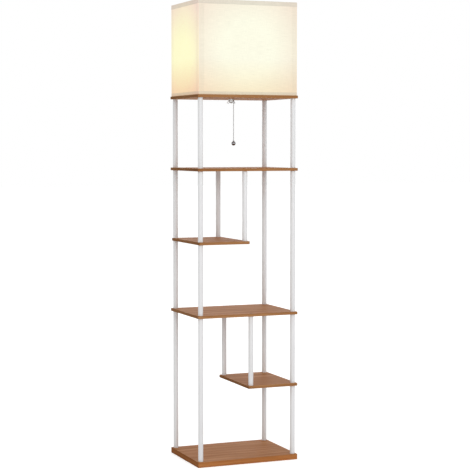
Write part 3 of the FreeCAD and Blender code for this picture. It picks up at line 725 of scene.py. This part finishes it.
# ------------------------------------------------------------ sub-assemblies
@dataclass
class Assembly:
    """Sub-assembly of new pieces and of nodes that keep the shape of the construction model."""

    finishes: dict[Slot, Material]
    nodes: dict[str, Piece]

    def piece(self, made: Mesh, name: str, slot: Slot, replaced: Iterable[str] = (), body: Body = Body.STAND,
              materials: Sequence[Material] = (), smooth_below: float = 35.0) -> Piece:
        """Turn a mesh under construction into a named piece that rides on its body.

        Args:
            made: the mesh under construction, used up here.
            name: the piece's name.
            slot: the record's material slot that it stands for.
            replaced: nodes of the construction model that it stands for.
            body: the body that it rides on.
            materials: its material numbers, where they aren't just the slot's finish.
            smooth_below: edges with a smaller angle in degrees are shaded smooth.

        Returns:
            The piece.
        """
        mesh = bake(made, name)
        mesh.shade_smooth()
        mesh.set_sharp_from_angle(angle=math.radians(smooth_below))
        for material in materials or [self.finishes[slot]]:
            mesh.materials.append(material)
        piece = place_object(name, mesh)
        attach(piece, body.value)
        if replaced:
            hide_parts(*replaced)
        log.info("piece %s on %s, %d faces", name, body.value, len(mesh.polygons))
        return piece

    def dress(self, slot: Slot, *names: str) -> None:
        """Give the finish of a slot to nodes that keep their shape.

        Args:
            slot: the slot.
            names: the nodes to dress.
        """
        for name in names:
            for place in self.nodes[name].material_slots:
                place.material = self.finishes[slot]
            log.info("node %s in %s", name, self.finishes[slot].name)

    def build(self) -> None:
        """Build the pieces and dress the nodes."""
        raise NotImplementedError


@dataclass
class ShelfStand(Assembly):
    """Boards with their bolts, and the columns of tubes between them."""

    tube_radius: float = 8 * MM
    tube_end: float = 0.5 * MM
    stud_radius: float = 3 * MM
    steps: int = 56
    boards: tuple[str, ...] = ("base_board", "lower_half_shelf", "middle_shelf", "upper_half_shelf",
                               "upper_shelf", "top_board")

    def tube(self, name: str, undersides: Sequence[float]) -> Piece:
        """One tube with softened ends and its stud.

        Args:
            name: the node that it stands for.
            undersides: heights of the boards' undersides.

        Returns:
            The tube.
        """
        low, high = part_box(name)
        middle = (low + high) / 2
        top = max(height for height in undersides if height <= high.z + self.tube_end)
        outline: Profile = [(0.0, low.z), (self.tube_radius, low.z), (self.tube_radius, top)]
        if high.z > top + self.tube_end:
            outline += [(self.stud_radius, top), (self.stud_radius, high.z)]
        outline.append((0.0, outline[-1][1]))
        made = lathe(outline, self.steps, middle.x, middle.y)
        soften(made, self.tube_end)
        return self.piece(made, f"lacquered_{name}", Slot.TUBE, [name])

    def build(self) -> None:
        """Dress the boards and bolts and build the tubes."""
        self.dress(Slot.BOARD, *self.boards)
        self.dress(Slot.SCREW, "base_bolts", "half_shelf_bolts", "top_bolts")
        self.dress(Slot.BROWN_SCREW, "shelf_bolts")
        undersides = [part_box(name)[0].z for name in self.boards]
        for name in sorted(self.nodes):
            if name.startswith("tube_") or "_centre_post_" in name:
                self.tube(name, undersides)


@dataclass
class BoxShade(Assembly):
    """Linen box shade: lined panel, folded hems, corner tapes, back seam, wire rings and uprights."""

    lining: Finish = LiningFilm()
    tape: Finish = Linen("tape_linen", (0.335, 0.325, 0.275), 0.925)
    corner: float = 4 * MM
    least_corner: float = 0.2 * MM
    corner_steps: int = 6
    panel_wall: float = 1.2 * MM
    panel_inset: float = 0.6 * MM
    rows: int = 8
    hem_wall: float = 0.5 * MM
    hem_fold: float = 7.6 * MM
    fold_round: float = 1.6 * MM
    fold_slope: float = 0.15 * MM
    fold_steps: int = 3
    hem_leg: float = 7 * MM
    tape_width: float = 20 * MM
    tape_inset: float = 0.25 * MM
    seam_width: float = 9 * MM
    seam_wall: float = 0.5 * MM
    seam_round: float = 0.15 * MM
    seam_place: float = 0.55  # share of the half width

    def halves(self) -> tuple[float, float]:
        """Half width and half depth of the shade."""
        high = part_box("shade_top_hem")[1]
        return high.x, high.y

    def between_hems(self) -> tuple[float, float]:
        """Heights between which the panel shows."""
        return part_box("shade_bottom_hem")[1].z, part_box("shade_top_hem")[0].z

    def sweep(self, profile: Profile, closed: bool = True) -> Mesh:
        """Sweep an (inset, height) profile round the shade, with rounded corners.

        Args:
            profile: the points of the profile, as distances inside the outline and heights.
            closed: join the last ring to the first.

        Returns:
            The swept mesh.
        """
        half_x, half_y = self.halves()
        made = bmesh.new()
        rings: list[list[bmesh.types.BMEdge]] = []
        for inset, height in profile:
            grown = bmesh.ops.create_grid(made, x_segments=1, y_segments=1, size=1.0)
            verts = grown["verts"]
            bmesh.ops.scale(made, vec=(half_x - inset, half_y - inset, 1.0), verts=verts)
            bmesh.ops.translate(made, vec=(0.0, 0.0, height), verts=verts)
            known = set(made.verts) - set(verts)
            radius = max(self.corner - inset, self.least_corner)
            bmesh.ops.bevel(made, geom=verts, offset=radius, offset_type="OFFSET", segments=self.corner_steps,
                            profile=ROUND_BEVEL, affect="VERTICES", clamp_overlap=False, material=-1)
            fresh = [vert for vert in made.verts if vert not in known]
            bmesh.ops.delete(made, geom=list(fresh[0].link_faces), context="FACES_ONLY")
            rings.append(list({edge for vert in fresh for edge in vert.link_edges}))
        for first, second in neighbours(rings, closed):
            bmesh.ops.bridge_loops(made, edges=first + second)
        bmesh.ops.recalc_face_normals(made, faces=made.faces)
        return made

    def panel(self) -> Piece:
        """Lined linen panel."""
        low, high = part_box("shade_panel")
        heights = [low.z + (high.z - low.z) * row / self.rows for row in range(self.rows + 1)]
        outside = [(self.panel_inset, height) for height in heights]
        inside = [(self.panel_inset + self.panel_wall, height) for height in reversed(heights)]
        made = self.sweep(outside + inside)
        for face in made.faces:
            centre = face.calc_center_median()
            inward = face.normal.x * centre.x + face.normal.y * centre.y < 0.0
            face.material_index = 1 if inward else 0
        materials = [self.finishes[Slot.LINEN], self.lining.material()]
        return self.piece(made, "linen_panel", Slot.LINEN, ["shade_panel"], materials=materials)

    def hem(self, name: str, node: str, way: int) -> Piece:
        """Hem folded over an edge of the shade.

        Args:
            name: the piece's name.
            node: the node that it stands for.
            way: +1 for the top edge, -1 for the bottom edge.

        Returns:
            The hem.
        """
        low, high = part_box(node)
        edge, far = (high.z, low.z) if way > 0 else (low.z, high.z)
        turn = self.fold_round
        outer = arc((turn, edge - way * turn), turn, 180.0, 180.0 - way * 90.0, self.fold_steps)
        inner = [(self.hem_fold - inset, height - way * self.fold_slope) for inset, height in reversed(outer)]
        strip = [(0.0, far), *outer, *inner, (self.hem_fold, edge - way * self.hem_leg)]
        made = self.sweep(strip, closed=False)
        thicken(made, self.hem_wall)
        return self.piece(made, name, Slot.HEM, [node])

    def tapes(self) -> Piece:
        """Linen tapes folded round the four upright corners of the panel, between the hems."""
        half_x, half_y = self.halves()
        made = self.sweep([(self.tape_inset, height) for height in self.between_hems()], closed=False)
        inner = Vector((half_x - self.tape_width, half_y - self.tape_width, 0.0))
        for normal in (Vector((1, 0, 0)), Vector((0, 1, 0))):
            for way in (-1, 1):
                cut(made, inner * way, normal)
        middles = {face: face.calc_center_median() for face in made.faces}
        spare = [face for face, middle in middles.items()
                 if abs(middle.x) < inner.x or abs(middle.y) < inner.y]
        bmesh.ops.delete(made, geom=spare, context="FACES")
        thicken(made, self.panel_inset - self.tape_inset)
        return self.piece(made, "corner_tapes", Slot.LINEN, materials=[self.tape.material()])

    def seam(self) -> Piece:
        """Lapped joint of the cloth, upright on the back panel."""
        half_x, half_y = self.halves()
        low, high = self.between_hems()
        made = bmesh.new()
        bmesh.ops.create_cube(made, size=1.0)
        bmesh.ops.scale(made, vec=(self.seam_width, self.seam_wall, high - low), verts=made.verts)
        place = (half_x * self.seam_place, half_y - self.panel_inset + self.seam_wall / 2, (low + high) / 2)
        bmesh.ops.translate(made, vec=place, verts=made.verts)
        soften(made, self.seam_round)
        return self.piece(made, "back_seam", Slot.LINEN)

    def build(self) -> None:
        """Build the cloth and dress the wires."""
        panel = self.panel()
        trims = [self.hem("folded_top_hem", "shade_top_hem", 1),
                 self.hem("folded_bottom_hem", "shade_bottom_hem", -1), self.tapes(), self.seam()]
        self.dress(Slot.WIRE, "shade_top_ring", "shade_bottom_ring", "shade_uprights")


@dataclass
class LampAxisAssembly(Assembly):
    """Sub-assembly whose pieces are turned about the axis of the lampholder."""

    steps: int = 72
    thread_steps: int = 72
    wave_parts: int = 8

    def turned(self, outline: Profile) -> Mesh:
        """Solid of revolution from a closed outline."""
        return lathe(outline, self.steps, y=LAMP_AXIS_Y, closed=True)

    def threaded(self, radius: float, depth: float, pitch: float, wall: float, low: float,
                 high: float) -> Mesh:
        """Sleeve with a round helical thread.

        Args:
            radius: radius over the crests.
            depth: depth of the thread.
            pitch: climb of one turn.
            wall: thickness of the sleeve.
            low: height of the lower end.
            high: height of the upper end.

        Returns:
            The threaded sleeve.
        """
        turns = math.ceil((high - low) / pitch) + 2
        start = low - 1.5 * pitch
        outline: Profile = []
        for number in range(turns * self.wave_parts + 1):
            wave = (1 + math.cos(TURN * number / self.wave_parts)) / 2
            outline.append((radius - depth * wave, start + pitch * number / self.wave_parts))
        made = lathe(outline, self.thread_steps, y=LAMP_AXIS_Y, rise=pitch)
        cut(made, Vector((0, 0, low)), Vector((0, 0, 1)), clear_inner=True)
        cut(made, Vector((0, 0, high)), Vector((0, 0, 1)), clear_outer=True)
        bmesh.ops.solidify(made, geom=made.faces, thickness=wall)
        return made


@dataclass
class Lampholder(LampAxisAssembly):
    """Spun metal lampholder on its nipple, with the chain outlet and the wing nut under the top board."""

    wall: float = 0.8 * MM
    hub_radius: float = 8 * MM
    hub_bore: float = 5.2 * MM
    hub_height: float = 8 * MM
    cone_height: float = 12 * MM
    cone_steps: int = 8
    cap_round: float = 0.3 * MM
    bead: float = 0.9 * MM
    bead_sink: float = 0.36 * MM
    bead_places: tuple[float, float] = (0.28, 0.86)  # shares of the shell's height
    bead_steps: int = 8
    rim_steps: int = 10
    thread_pitch: float = 1.0 * MM
    thread_depth: float = 0.35 * MM
    nipple_wall: float = 0.28  # share of its radius
    seat_depth: float = 0.4 * MM
    seat_hole: float = 6.0 * MM
    seat_floor: float = 0.5 * MM
    seat_inset: float = 0.4 * MM
    nut_bore: float = 5.0 * MM
    nut_foot: float = 5.6 * MM
    nut_top: float = 6.8 * MM
    nut_round: float = 0.4 * MM
    wing_drop: float = 6.0 * MM
    wing_thickness: float = 2.6 * MM
    wing_tip: float = 3.0 * MM
    wing_root: float = 3.36 * MM
    root_reach: float = 5.04 * MM
    root_swell: float = 1.2
    wing_round: float = 0.5 * MM
    arm_radius: float = 2.8 * MM
    arm_start: float = 2.4 * MM
    guide_radius: float = 3.2 * MM
    guide_bore: float = 2.2 * MM
    guide_rise: float = 5.0 * MM
    guide_round: float = 0.35 * MM
    mouth_flare: float = 0.9 * MM
    mouth_height: float = 2.0 * MM
    mouth_steps: int = 4
    flange_radius: float = 6.0 * MM
    collars: tuple[Triple, ...] = ((6.0 * MM, 1.3 * MM, 0.1 * MM),  # radius, and its faces before the shell
                                   (3.78 * MM, 2.6 * MM, 1.1 * MM))
    collar_round: float = 0.3 * MM

    def cap(self) -> Piece:
        """Cap with its hub, waisted cone and skirt."""
        low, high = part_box("lampholder_cap")
        radius = high.x
        inner = radius - self.wall
        hub_top = low.z + self.hub_height
        skirt = hub_top + self.cone_height
        angles = [math.pi / 2 * step / self.cone_steps for step in range(1, self.cone_steps)]
        cone = [(self.hub_radius + (radius - self.hub_radius) * math.sin(angle),
                 skirt - self.cone_height * math.cos(angle)) for angle in angles]
        made = self.turned([(self.hub_bore, low.z), (self.hub_radius, low.z), (self.hub_radius, hub_top),
                            *cone, (radius, skirt), (radius, high.z), (inner, high.z), (inner, skirt),
                            (self.hub_bore, hub_top)])
        soften(made, self.cap_round)
        return self.piece(made, "spun_cap", Slot.HOLDER, ["lampholder_cap"])

    def shell(self) -> Piece:
        """Outer sleeve with two pressed beads and a rolled rim."""
        low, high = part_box("lampholder_shell")
        outer = high.x - self.bead
        inner = outer - self.wall
        outline: Profile = [(inner, low.z), (outer, low.z)]
        for share in self.bead_places:
            centre = (outer - self.bead_sink, low.z + (high.z - low.z) * share)
            outline += arc(centre, self.bead, -60.0, 60.0, self.bead_steps)
        outline += arc((outer, high.z - self.bead), self.bead, -90.0, 90.0, self.rim_steps)
        outline.append((inner, high.z))
        return self.piece(self.turned(outline), "beaded_shell", Slot.HOLDER, ["lampholder_shell"])

    def nipple(self) -> Piece:
        """Threaded nipple."""
        low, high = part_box("lamp_nipple")
        radius = (high.x - low.x) / 2
        made = self.threaded(radius, self.thread_depth, self.thread_pitch, radius * self.nipple_wall, low.z,
                             high.z)
        return self.piece(made, "threaded_nipple", Slot.ZINC, ["lamp_nipple"])

    def screw_shell(self) -> Piece:
        """Brass cup with a rolled thread that takes the bulb."""
        low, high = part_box("screw_shell")
        made = self.threaded(high.x, self.seat_depth, BULB_THREAD_PITCH, ROLLED_WALL, low.z, high.z)
        rim = high.x - self.seat_inset
        floor_top = low.z + self.seat_floor
        absorb(made, self.turned([(self.seat_hole, low.z), (rim, low.z), (rim, floor_top),
                                  (self.seat_hole, floor_top)]))
        return self.piece(made, "rolled_screw_shell", Slot.BRASS, ["screw_shell"])

    def wing(self, side: int, span: float, tip_height: float, root_height: float) -> Mesh:
        """Rounded wing of the nut.

        Args:
            side: -1 for the left wing, +1 for the right one.
            span: reach of the wing from the axis.
            tip_height: height of the middle of its tip.
            root_height: height of the middle of its root.

        Returns:
            The wing's mesh.
        """
        half = Vector((0.0, self.wing_thickness / 2, 0.0))
        tip = Vector((side * (span - self.wing_tip), LAMP_AXIS_Y, tip_height))
        root = Vector((side * self.root_reach, LAMP_AXIS_Y, root_height))
        made = rod(self.wing_tip, tip - half, tip + half)
        absorb(made, rod(self.wing_root, root - half * self.root_swell, root + half * self.root_swell))
        hull = bmesh.ops.convex_hull(made, input=made.verts)
        inside = {item for key in ("geom_interior", "geom_unused") for item in hull[key]}
        spare = [item for item in inside if isinstance(item, bmesh.types.BMVert) and item.is_valid]
        bmesh.ops.delete(made, geom=spare, context="VERTS")
        skin = set(hull["geom"])
        bmesh.ops.delete(made, geom=[face for face in made.faces if face not in skin], context="FACES_ONLY")
        bmesh.ops.dissolve_limit(made, angle_limit=math.radians(2), verts=made.verts, edges=made.edges)
        bmesh.ops.recalc_face_normals(made, faces=made.faces)
        soften(made, self.wing_round, 3)
        return made

    def wing_nut(self) -> Piece:
        """Nut with a tapered barrel and two drooping rounded wings."""
        low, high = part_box("wing_nut")
        foot = low.z + self.wing_drop
        made = self.turned([(self.nut_bore, foot), (self.nut_foot, foot), (self.nut_top, high.z),
                            (self.nut_bore, high.z)])
        soften(made, self.nut_round)
        for side in (-1, 1):
            absorb(made, self.wing(side, high.x, low.z + self.wing_tip, (foot + high.z) / 2))
        return self.piece(made, "cast_wing_nut", Slot.ZINC, ["wing_nut"])

    def outlet(self) -> Piece:
        """Chain outlet: flange on the shell, side arm, and guide with a bell mouth."""
        low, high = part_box("chain_outlet")
        throat = low.z + self.mouth_height
        axis_z = high.z - self.flange_radius
        top = axis_z + self.guide_rise
        shares = [step / self.mouth_steps for step in range(self.mouth_steps + 1)]
        bell = [(self.mouth_flare * share * share, throat - self.mouth_height * share) for share in shares]
        outline = [(0.0, top - self.wall), (self.guide_bore, top - self.wall)]
        outline += [(self.guide_bore + flare, height) for flare, height in bell]
        outline += [(self.guide_radius + flare, height) for flare, height in reversed(bell)]
        outline += [(self.guide_radius, top), (0.0, top)]
        made = lathe(outline, self.steps // 2, closed=True)
        soften(made, self.guide_round)
        start, end = Vector((0.0, self.arm_start, axis_z)), Vector((0.0, high.y, axis_z))
        absorb(made, rod(self.arm_radius, start, end))
        face = Vector((0.0, LAMP_AXIS_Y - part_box("lampholder_shell")[1].x + self.bead, axis_z))
        for radius, outer, inner in self.collars:
            collar = rod(radius, face - Vector((0.0, outer, 0.0)), face - Vector((0.0, inner, 0.0)))
            soften(collar, self.collar_round)
            absorb(made, collar)
        return self.piece(made, "bell_mouth_outlet", Slot.HOLDER, ["chain_outlet"])

    def build(self) -> None:
        """Build the metal pieces and dress the others."""
        self.cap()
        self.shell()
        self.nipple()
        self.screw_shell()
        self.wing_nut()
        self.outlet()
        self.dress(Slot.ZINC, "upper_washer", "lower_washer")
        self.dress(Slot.FIBRE, "lampholder_lining")
        self.dress(Slot.PHENOLIC, "switch_body")
        self.dress(Slot.BRASS, "centre_contact", "bulb_end_contact")
        self.dress(Slot.INSULATOR, "bulb_insulator")


@dataclass
class GlobeBulb(LampAxisAssembly):
    """Screw-in globe bulb."""

    steps: int = 96
    globe_radius: float = 30 * MM
    neck_radius: float = 12.8 * MM
    neck_height: float = 6 * MM
    flare: float = 26 * MM
    flare_steps: int = 12
    globe_steps: int = 40
    thread_depth: float = 0.9 * MM
    thread_foot: float = 1.5 * MM
    collar_height: float = 3.5 * MM
    foot_height: float = 1.8 * MM
    foot_inset: float = 1.2 * MM
    foot_width: float = 2.0 * MM
    lip: float = 0.4 * MM
    lip_drop: float = 0.6 * MM

    def globe(self) -> Piece:
        """Opal globe whose neck flares smoothly into the sphere."""
        low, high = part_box("bulb_globe")
        centre = high.z - self.globe_radius
        flare_z = low.z + self.neck_height
        reach = self.neck_radius + self.flare
        grown = math.sqrt(max((self.globe_radius + self.flare) ** 2 - reach ** 2, 0.0))
        start = flare_z + max(centre - flare_z - grown, 0.0)
        lean = math.degrees(math.atan2(centre - start, reach))
        outline: Profile = [(0.0, low.z), (self.neck_radius, low.z)]
        outline += arc((reach, start), self.flare, 180.0, 180.0 - lean, self.flare_steps)
        outline += arc((0.0, centre), self.globe_radius, -lean, 90.0, self.globe_steps)[1:]
        outline[-1] = (0.0, high.z)
        made = lathe(outline, self.steps, y=LAMP_AXIS_Y)
        return self.piece(made, "opal_globe", Slot.GLOBE, ["bulb_globe"], Body.BULB)

    def cap(self) -> Piece:
        """Rolled aluminium screw cap with its collar and its foot."""
        low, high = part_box("bulb_screw_cap")
        radius = high.x
        collar = high.z - self.collar_height
        foot = low.z + self.foot_height
        root = radius - self.thread_depth
        made = self.threaded(radius, self.thread_depth, BULB_THREAD_PITCH, ROLLED_WALL,
                             low.z + self.thread_foot, collar)
        bore = radius - self.foot_width
        absorb(made, self.turned([(root, collar - self.lip), (radius, collar),
                                  (radius, high.z - self.lip_drop), (radius - self.lip, high.z),
                                  (root, high.z), (root, collar)]))
        absorb(made, self.turned([(root, foot), (radius - self.foot_inset, low.z), (bore, low.z),
                                  (bore, foot)]))
        return self.piece(made, "rolled_bulb_cap", Slot.BULB_CAP, ["bulb_screw_cap"], Body.BULB)

    def build(self) -> None:
        """Build the glass and the cap."""
        self.globe()
        self.cap()


@dataclass
class PullChain(Assembly):
    """Bead chain through the top board, its connector, the drop chain and the chrome ball."""

    bead_radius: float = 1.6 * MM
    bead_half: float = 1.5 * MM
    bead_pitch: float = 4.2 * MM
    bead_steps: int = 8
    link_radius: float = 0.45 * MM
    link_below_drop: float = 2.0 * MM
    steps: int = 20
    cup_depth: float = 2.2 * MM
    groove: float = 0.8 * MM
    cup_share: float = 0.77  # shares of the connector's radius
    waist_share: float = 0.82
    connector_round: float = 0.2 * MM
    ball_radius: float = 7.2 * MM
    ball_steps: int = 40
    ball_faces: int = 64
    ball_round: float = 0.15 * MM
    collar_radius: float = 2.4 * MM
    collar_step: float = 0.9 * MM
    neck_share: float = 0.7  # share of the collar's radius
    neck_top: float = 0.8 * MM

    def chain(self, name: str, node: str, body: Body, tail: float) -> Piece:
        """Round beads on short links.

        Args:
            name: the piece's name.
            node: the node that it stands for.
            body: the body that it rides on.
            tail: length of the chain below its last bead's centre.

        Returns:
            The chain.
        """
        low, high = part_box(node)
        top_bead = high.z - self.bead_half
        beads = round((top_bead - low.z - tail) / self.bead_pitch) + 1
        reach = math.degrees(math.acos(self.link_radius / self.bead_radius))
        outline: Profile = []
        for number in range(beads):
            centre = (0.0, top_bead - number * self.bead_pitch)
            outline += arc(centre, self.bead_radius, reach, -reach, self.bead_steps)
        outline[0] = (0.0, top_bead + self.bead_radius)
        outline += [(self.link_radius, low.z), (0.0, low.z)]
        made = lathe(outline, self.steps)
        return self.piece(made, name, Slot.CHAIN, [node], body, smooth_below=60.0)

    def connector(self) -> Piece:
        """Barrel with a cup at each end."""
        low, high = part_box("pull_connector")
        radius = high.x
        middle = (low.z + high.z) / 2
        cup, waist = radius * self.cup_share, radius * self.waist_share
        floor, ceiling = low.z + self.cup_depth, high.z - self.cup_depth
        made = lathe([(0.0, floor), (cup, floor), (cup, low.z), (radius, low.z),
                      (radius, middle - self.groove), (waist, middle), (radius, middle + self.groove),
                      (radius, high.z), (cup, high.z), (cup, ceiling), (0.0, ceiling)], self.steps * 2)
        soften(made, self.connector_round)
        return self.piece(made, "cup_connector", Slot.CHAIN, ["pull_connector"], Body.LINK)

    def ball(self) -> Piece:
        """Chrome ball with its stepped collar."""
        low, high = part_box("pull_ball")
        centre = low.z + self.ball_radius
        meet = math.degrees(math.acos(self.collar_radius / self.ball_radius))
        neck = self.collar_radius * self.neck_share
        outline = arc((0.0, centre), self.ball_radius, -90.0, meet, self.ball_steps)
        outline[0] = (0.0, low.z)
        outline += [(self.collar_radius, high.z - self.collar_step), (neck, high.z - self.neck_top),
                    (neck, high.z), (0.0, high.z)]
        made = lathe(outline, self.ball_faces)
        soften(made, self.ball_round, least_angle=50.0)
        return self.piece(made, "chrome_ball", Slot.BALL, ["pull_ball"], Body.DROP)

    def build(self) -> None:
        """Build the whole pull chain."""
        self.chain("lead_beads", "lead_chain", Body.LEAD, self.bead_half)
        self.connector()
        self.chain("drop_beads", "drop_chain", Body.DROP, self.link_below_drop)
        self.ball()


# ------------------------------------------------------------ studio
@dataclass(frozen=True)
class SoftLight:
    """Square area light."""

    name: str
    place: Triple
    size: float
    power: float

    def hang(self, aim: Triple) -> None:
        """Hang the light so that it faces a point, unseen by the camera."""
        data = bpy.data.lights.new(self.name, "AREA")
        data.size = self.size
        data.energy = self.power
        light = place_object(self.name, data)
        light.location = self.place
        facing = Vector(aim) - Vector(self.place)
        light.rotation_euler = facing.to_track_quat("-Z", "Y").to_euler()
        light.visible_camera = False


@dataclass
class Studio:
    """Pale floor, soft lights, white surround and the camera at the photograph's angle."""

    distance: float = 4768.2 * MM
    azimuth: float = -22.228
    yaw: float = -0.058
    camera_height: float = 1035.99 * MM
    pitch_down: float = 3.002
    lens: float = 110.36
    shift_y: float = -0.03
    clip_end: float = 100.0
    floor_size: float = 60.0
    floor_albedo: float = 0.86
    floor_lift: float = 0.46
    surround: float = 0.74
    aim: Triple = (0.0, 0.0, 0.8)
    lights: tuple[SoftLight, ...] = (SoftLight("key_light", (-0.2, -4.6, 2.2), 3.6, 80.0),
                                     SoftLight("fill_light", (-3.6, -2.2, 1.4), 3.0, 7.0),
                                     SoftLight("back_light", (2.2, 4.4, 2.3), 3.2, 22.0))

    def camera(self) -> None:
        """Place the camera."""
        data = bpy.data.cameras.new("camera")
        data.lens = self.lens
        data.shift_y = self.shift_y
        data.clip_end = self.clip_end
        camera = place_object("camera", data)
        turn = math.radians(self.azimuth)
        camera.location = (math.sin(turn) * self.distance, -math.cos(turn) * self.distance,
                           self.camera_height)
        camera.rotation_euler = (math.radians(90.0 - self.pitch_down), 0.0,
                                 math.radians(self.azimuth + self.yaw))
        bpy.context.scene.camera = camera

    def floor(self) -> None:
        """Large pale floor that keeps the lamp's shadow."""
        made = bmesh.new()
        bmesh.ops.create_grid(made, x_segments=1, y_segments=1, size=self.floor_size / 2)
        floor = place_object("floor", bake(made, "floor"))
        paint = Painter("pale_floor")
        paint.shade(Base_Color=grey(self.floor_albedo), Roughness=0.9, Specular_IOR_Level=0.0,
                    Emission_Color=grey(1.0),
                    Emission_Strength=paint.times(paint.plain_rays(), self.floor_lift))
        floor.data.materials.append(paint.material)

    def world(self) -> None:
        """White surround for the camera, softer light for everything else."""
        world = bpy.data.worlds.new("surround")
        bpy.context.scene.world = world
        world.use_nodes = True
        graph = Graph(world.node_tree)
        graph.tree.nodes.clear()
        strength = graph.remap(graph.plain_rays(), 0.0, 1.0, self.surround, 1.0)
        background = graph.node("ShaderNodeBackground", {"Color": grey(1.0), "Strength": strength})
        graph.node("ShaderNodeOutputWorld", {"Surface": background.outputs["Background"]})

    def build(self) -> None:
        """Set the whole studio."""
        bpy.context.scene.view_settings.view_transform = "Standard"
        self.camera()
        self.floor()
        self.world()
        for light in self.lights:
            light.hang(self.aim)


def main() -> None:
    """Build the lamp around the construction model."""
    logging.basicConfig(level=logging.INFO, format="%(name)s: %(message)s")
    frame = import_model()
    finishes = make_finishes()
    Studio().build()
    for assembly in (ShelfStand, BoxShade, Lampholder, GlobeBulb, PullChain):
        assembly(finishes, frame["nodes"]).build()


if __name__ == "__main__":
    main()
